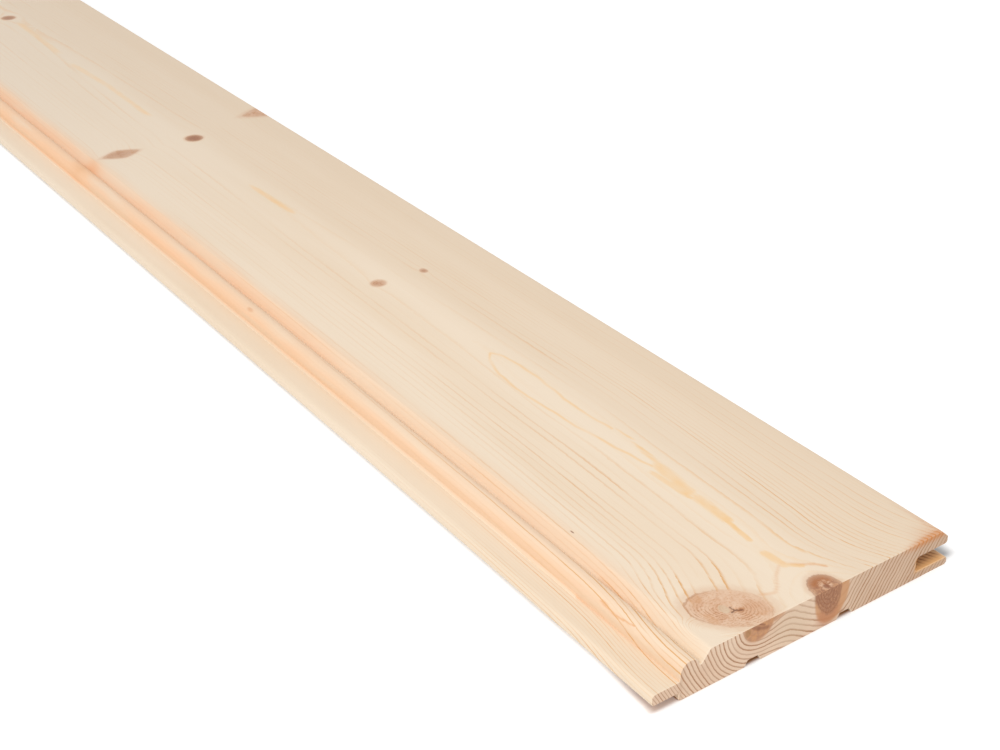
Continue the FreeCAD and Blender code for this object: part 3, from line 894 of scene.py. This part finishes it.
def planed_pine(looks):
    """Planed pine: growth rings cut by the surface, fibres, resin, blush, knots, darker saw-cut ends, and painted shade
    in the groove, towards the groove side and over the far half.
    """
    r = Recipe("planed_pine")
    metres = r.node("ShaderNodeTexCoord", output="Object")
    place = r.vector("SCALE", metres, scale=1000.0)
    sawn = r.attribute("sawn_end")
    knot = r.attribute("knot")
    dark = r.attribute("knot_dark")

    waver = r.noise(place, (0.014, 0.22, 0.22), 2.0, 0.5) - 0.5
    shiver = r.noise(place, (0.15, 1.3, 1.3), 2.0, 0.6, 31.0) - 0.5
    jitter = r.noise(place, (0.5, 0.5, 0.5), 2.0, 0.6, 61.0) - 0.5
    count = r.attribute("ring") + waver * (0.45 - 0.30 * sawn) + shiver * (0.06 + 0.04 * sawn) + jitter * 0.22
    count = count + (r.noise(place, (0.1, 0.17, 0.17), 2.0, 0.5, 55.0) - 0.5) * sawn * r.attribute("side_shade") * 1.6
    whole = count.maths("FLOOR")
    phase = count - whole
    draw = Value(r, r.node("ShaderNodeTexWhiteNoise", {"noise_dimensions": "1D"}, {"W": whole}))
    strength = 0.14 + 1.05 * draw**1.7
    line_face = phase.step(0.60, 0.93) ** 1.5 * phase.step(1.0, 0.955)
    line_end = phase.step(0.52, 0.88) * phase.step(1.0, 0.93)
    broken = r.noise(place, (0.045, 0.9, 0.9), 2.0, 0.6, 88.0).step(0.34, 0.54)
    fade = 0.2 + 0.8 * r.noise(place, (0.018, 0.16, 0.16), 2.0, 0.55, 77.0).step(0.33, 0.56)
    fibre = r.noise(place, (0.03, 3.2, 3.2), 3.0, 0.6, 5.0)
    drift = r.noise(place, (0.006, 0.06, 0.06), 2.0, 0.5, 3.0)
    patch = r.noise(place, (0.12, 0.16, 0.16), 2.0, 0.6, 21.0)
    flame = r.noise(place, (0.16, 1.1, 1.1), 4.0, 0.7, 15.0) - 0.5

    body = r.mix(drift.step(0.35, 0.75) * 0.55, rgb(looks.face), rgb(looks.face_deep))
    # Painted shade: the far half of the face greyer and darker.
    body = r.mix(r.attribute("far_shade") * 0.8, body, rgb(looks.face_far_shade))
    # Painted shade: darker towards the groove side and on the bead's left flank.
    body = r.mix(r.attribute("side_shade"), body, rgb(looks.face_side_shade))
    body = r.mix(r.attribute("blush") * (0.55 + 0.6 * fade), body, rgb(looks.blush))
    late = r.mix(draw * 0.8, rgb(looks.late), rgb(looks.late_strong))
    late = r.mix(r.attribute("resin_line") * 0.8, late, rgb(looks.resin))
    lines = line_face * strength * fade * (0.45 + 0.55 * broken) * r.attribute("grain") * looks.grain
    body = r.mix(lines, body, late)
    body = ring_loop(r, looks, place, body)
    streak = (r.attribute("resin") + flame * 1.1 * r.attribute("resin").step(0.0, 0.5)).step(0.2, 0.95)
    body = r.mix(streak * (0.15 + 0.9 * patch) * (1 - 0.6 * r.attribute("far_shade")), body, rgb(looks.resin))
    fork = (r.attribute("fork") + flame * 0.5 * r.attribute("fork").step(0.0, 0.4)).clamped()
    body = r.mix(fork * 0.85, body, rgb(looks.fork))
    body = r.mix(r.attribute("pocket") * (0.4 + 0.8 * patch), body, rgb(looks.fork))
    body = r.mix((fibre - 0.5) * 0.16 + 0.05, body, rgb(looks.late))

    cut = r.mix(drift.step(0.3, 0.7), rgb(looks.end), rgb(looks.end_deep))
    # Painted shade: the saw-cut end darker towards the groove side.
    cut = r.mix(r.attribute("side_shade"), cut, rgb(looks.end_side_shade))
    cut = r.mix(line_end * (0.45 + 0.55 * draw) * r.attribute("end_grain"), cut, rgb(looks.end_late))
    speck = r.noise(place, (6.0, 2.2, 2.2), 2.0, 0.7, 13.0)
    cut = r.mix((speck - 0.45) * 0.35, cut, rgb(looks.end_late))
    cut = end_marks(r, looks, place, cut)
    wood = r.mix(sawn, body, cut)
    # Painted shade inside the groove: a warm dark tint, deepest away from the near end.
    wood = r.mix(r.attribute("groove") * 0.85, wood, rgb(looks.groove))
    wood = r.mix(r.attribute("groove_shade_inward") * (0.55 + 0.45 * line_end), wood, rgb(looks.groove_deep_shade))

    ragged = r.noise(place, (0.7, 0.7, 0.5), 3.0, 0.7, 71.0) - 0.5
    knot_edge = knot + shiver * 0.10 + (patch - 0.5) * 0.14 + ragged * 0.16
    softness = 0.05 + 0.75 / r.attribute("knot_size")
    inside_knot = ((1.0 - knot_edge) / softness + 0.5).step(0.0, 1.0)
    tone = knot_wood(r, looks, place, knot, dark, shiver, patch)
    wood = r.mix(inside_knot * (0.82 + 0.18 * knot.step(1.0, 0.6)), wood, tone)
    core = knot.step(0.85, 0.25) * r.attribute("knot_size").step(6.0, 4.6) * dark
    wood = r.mix(core * 0.45 * (1 - sawn), wood, rgb(looks.knot_ring))
    rind = knot_edge.step(0.95, 1.03) * knot_edge.step(1.40, 1.06)
    wood = r.mix(rind * (0.10 + 0.30 * patch) * (1 - sawn), wood, rgb(looks.knot_rim))
    low_edge = r.spot(place, on_board(16.5, 19.5), (8, 8, 6), 1.1, 0.5)
    outline = knot_edge.step(0.93, 0.985) * knot_edge.step(1.04, 0.995) * (0.45 * low_edge + 0.35 * dark)
    outline_tone = r.mix(dark, rgb(looks.knot_rim_deep), rgb(looks.knot_ring))
    wood = r.mix(outline * (1 - sawn) * (0.3 + 1.2 * patch), wood, outline_tone)
    wood = r.mix(knot_cup(r, looks, place) * sawn, wood, knot_cup_tone(r, looks, place))
    wood = star_crack(r, looks, place, wood)
    amber = (r.attribute("amber") + (speck - 0.5) * 0.8 * r.attribute("amber").step(0.0, 0.4)).clamped()
    wood = r.mix(amber * (0.65 + 0.35 * line_end), wood, rgb(looks.amber))
    wood = r.mix(r.spot(place, SPECK, (1.0, 0.28, 3.0)) * 0.9, wood, rgb(looks.knot_ring))
    wood = r.mix(r.spot(place, PITCH, (2.6, 0.9, 6.0), 1.2, 0.3) * 0.35, wood, rgb(looks.amber))

    height = fibre * 0.6 + line_face * 0.4 + (speck - 0.5) * sawn * 1.5
    normal = r.node(
        "ShaderNodeBump", {}, {"Strength": 0.35, "Distance": 0.00012, "Height": height}
    )
    rough = looks.roughness + 0.22 * sawn + (fibre - 0.5) * 0.15
    shader = r.node(
        "ShaderNodeBsdfPrincipled",
        {},
        {"Base Color": wood, "Roughness": rough, "Normal": normal, "Specular IOR Level": 0.35},
    )
    out = r.tree.nodes.new("ShaderNodeOutputMaterial")
    r.tree.links.new(shader, out.inputs["Surface"])
    return r.material


def pale_floor(looks):
    """A pale floor that keeps the board's shadow and reads white where it has none, with painted shade under the board
    and behind the groove, and painted light beside the tongue.
    """
    r = Recipe("pale_floor")
    seen = Value(r, r.node("ShaderNodeLightPath", output="Is Camera Ray"))
    glossy = Value(r, r.node("ShaderNodeLightPath", output="Is Glossy Ray"))
    through = Value(r, r.node("ShaderNodeLightPath", output="Is Transmission Ray"))
    place = r.node("ShaderNodeTexCoord", output="Object")
    half_length, half_width = BOARD_SIZE.x / 2, BOARD_SIZE.y / 2
    parts = r.node("ShaderNodeSeparateXYZ", {}, {"Vector": r.vector("ABSOLUTE", place)})
    reach_along = Value(r, parts.node.outputs[0])
    beside = Value(r, r.node("ShaderNodeSeparateXYZ", {}, {"Vector": place}, output="Y"))
    # Painted shade on the floor under the board's channels, and under the tongue near the end.
    under = reach_along.step(half_length + 0.0005, half_length - 0.0015) * beside.step(half_width - 0.010, half_width - 0.012)
    body = under * beside.step(0.0095 - half_width, 0.0105 - half_width)
    tongue = under * beside.step(-half_width - 0.002, 0.003 - half_width) * reach_along.step(half_length - 0.03, half_length - 0.002)
    under = body.maths("MAXIMUM", tongue * 0.65)
    # Painted shadow on the floor behind the groove near the end.
    behind = beside.step(half_width + 0.0088, half_width + 0.0030) * beside.step(half_width - 0.001, half_width)
    behind = behind * reach_along.step(half_length - 0.0005, half_length - 0.004)
    # Painted light: extra glow beside the tongue that hides its shadow there.
    painted_light_beside_tongue = beside.step(-half_width - 0.020, -half_width - 0.001) * beside.step(-half_width + 0.003, -half_width)
    painted_light_beside_tongue = painted_light_beside_tongue * reach_along.step(half_length + 0.002, half_length - 0.006) * 0.45
    glow = (seen + glossy + through).clamped() * (looks.glow + painted_light_beside_tongue) * (1 - under) * (1 - behind)
    light = r.mix(glow, (0.0, 0.0, 0.0), (1.0, 1.0, 1.0))
    tone = r.mix(under, rgb(looks.floor), rgb(looks.under))
    tone = r.mix(behind, tone, rgb(looks.behind))
    shader = r.node(
        "ShaderNodeBsdfPrincipled",
        {},
        {
            "Base Color": tone,
            "Roughness": 0.9,
            "Specular IOR Level": 0.1,
            "Emission Color": light,
            "Emission Strength": 1.0,
        },
    )
    out = r.tree.nodes.new("ShaderNodeOutputMaterial")
    r.tree.links.new(shader, out.inputs["Surface"])
    return r.material


def light_sky(tree, strength):
    """Even light of this strength, which the camera and gloss see as plain white."""
    tree.nodes.clear()
    rays = tree.nodes.new("ShaderNodeLightPath")
    seen = tree.nodes.new("ShaderNodeMath")
    seen.operation = "MAXIMUM"
    tree.links.new(rays.outputs["Is Camera Ray"], seen.inputs[0])
    tree.links.new(rays.outputs["Is Glossy Ray"], seen.inputs[1])
    shown = tree.nodes.new("ShaderNodeMath")
    shown.operation = "MAXIMUM"
    tree.links.new(seen.outputs[0], shown.inputs[0])
    tree.links.new(rays.outputs["Is Transmission Ray"], shown.inputs[1])
    mix = tree.nodes.new("ShaderNodeMixShader")
    for index, power in ((1, strength), (2, 1.0)):
        light = tree.nodes.new("ShaderNodeBackground")
        light.inputs["Strength"].default_value = power
        light.inputs["Color"].default_value = (1, 1, 1, 1)
        tree.links.new(light.outputs[0], mix.inputs[index])
    tree.links.new(shown.outputs[0], mix.inputs["Fac"])
    out = tree.nodes.new("ShaderNodeOutputWorld")
    tree.links.new(mix.outputs[0], out.inputs["Surface"])


# Operators


class MakeBoard(bpy.types.Operator):
    """Makes the planed pine board in place of its plain solid."""

    bl_idname = "board.make_board"
    bl_label = "Make the board"

    def execute(self, context):
        size = context.scene.board_sizes
        points, sides, caps = make_board(size)
        mesh = bpy.data.meshes.new("pine_board")
        mesh.from_pydata((points * MM).tolist(), [], sides + caps)
        for name, values in growth(points, size).items():
            layer = mesh.attributes.new(name, "FLOAT", "POINT")
            layer.data.foreach_set("value", values.astype(np.float32))
        sawn = mesh.attributes.new("sawn_end", "FLOAT", "FACE")
        sawn.data.foreach_set("value", np.repeat([0.0, 1.0], [len(sides), len(caps)]).astype(np.float32))
        mesh.materials.append(planed_pine(context.scene.pine_looks))
        mesh.shade_smooth()
        mesh.set_sharp_from_angle(angle=math.radians(28))
        board = bpy.data.objects.new("pine_board", mesh)
        context.scene.collection.objects.link(board)
        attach(board, "root")
        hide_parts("board")
        return {"FINISHED"}


class MakeStage(bpy.types.Operator):
    """Makes the floor, the soft lamps and the camera."""

    bl_idname = "board.make_stage"
    bl_label = "Make the stage"

    def execute(self, context):
        looks = context.scene.stage_looks
        scene = context.scene
        half = 9.0
        mesh = bpy.data.meshes.new("floor")
        mesh.from_pydata([(-half, -half, 0), (half, -half, 0), (half, half, 0), (-half, half, 0)], [], [(0, 1, 2, 3)])
        mesh.materials.append(pale_floor(looks))
        floor = bpy.data.objects.new("floor", mesh)
        scene.collection.objects.link(floor)

        data = bpy.data.lights.new("key_lamp", "AREA")
        data.shape, data.size, data.size_y = "RECTANGLE", 1.6, 1.2
        data.energy = looks.key
        lamp = bpy.data.objects.new("key_lamp", data)
        place, aim = Vector((1.75, -1.1, 1.35)), Vector((1.1, 0, 0))
        lamp.matrix_world = Matrix.Translation(place) @ (aim - place).to_track_quat("-Z", "Y").to_matrix().to_4x4()
        scene.collection.objects.link(lamp)

        world = bpy.data.worlds.new("studio")
        world.use_nodes = True
        light_sky(world.node_tree, looks.sky)
        scene.world = world

        camera_data = bpy.data.cameras.new("camera")
        camera_data.lens = looks.lens
        camera_data.sensor_width = 36
        camera_data.clip_start, camera_data.clip_end = 0.01, 50
        camera = bpy.data.objects.new("camera", camera_data)
        right, down, ahead = (Vector(v) for v in CAMERA_AXES)
        turn = Matrix((right, -down, -ahead)).transposed()
        camera.matrix_world = Matrix.Translation(CAMERA_PLACE) @ turn.to_4x4()
        scene.collection.objects.link(camera)
        scene.camera = camera
        scene.view_settings.view_transform = "Standard"
        return {"FINISHED"}


CAMERA_PLACE = Vector((1.4446, -0.2820, 0.2980))
CAMERA_AXES = (
    (0.5762037, 0.8173001, -0.0031468),
    (0.4074300, -0.2905752, -0.8657753),
    (-0.7085126, 0.4975808, -0.5004231),
)


class BoardPanel(bpy.types.Panel):
    """Lists the board's sizes, its looks and the stage."""

    bl_idname = "VIEW3D_PT_board"
    bl_label = "Tongue and groove board"
    bl_space_type = "VIEW_3D"
    bl_region_type = "UI"
    bl_category = "Board"

    def draw(self, context):
        for group in (context.scene.board_sizes, context.scene.pine_looks, context.scene.stage_looks):
            box = self.layout.box()
            for name in group.__annotations__:
                box.prop(group, name)
        self.layout.operator(MakeBoard.bl_idname)
        self.layout.operator(MakeStage.bl_idname)


GROUPS = {"board_sizes": BoardSizes, "pine_looks": PineLooks, "stage_looks": StageLooks}
CLASSES = (*GROUPS.values(), MakeBoard, MakeStage, BoardPanel)


def register():
    """Makes the classes known and hangs their settings on the scene."""
    for cls in CLASSES:
        bpy.utils.register_class(cls)
    for name, group in GROUPS.items():
        setattr(bpy.types.Scene, name, bpy.props.PointerProperty(type=group))


def unregister():
    """Takes the settings and classes away again."""
    for name in GROUPS:
        delattr(bpy.types.Scene, name)
    for cls in reversed(CLASSES):
        bpy.utils.unregister_class(cls)


def main():
    register()
    bpy.ops.board.make_stage()
    bpy.ops.board.make_board()


if __name__ == "__main__":
    main()
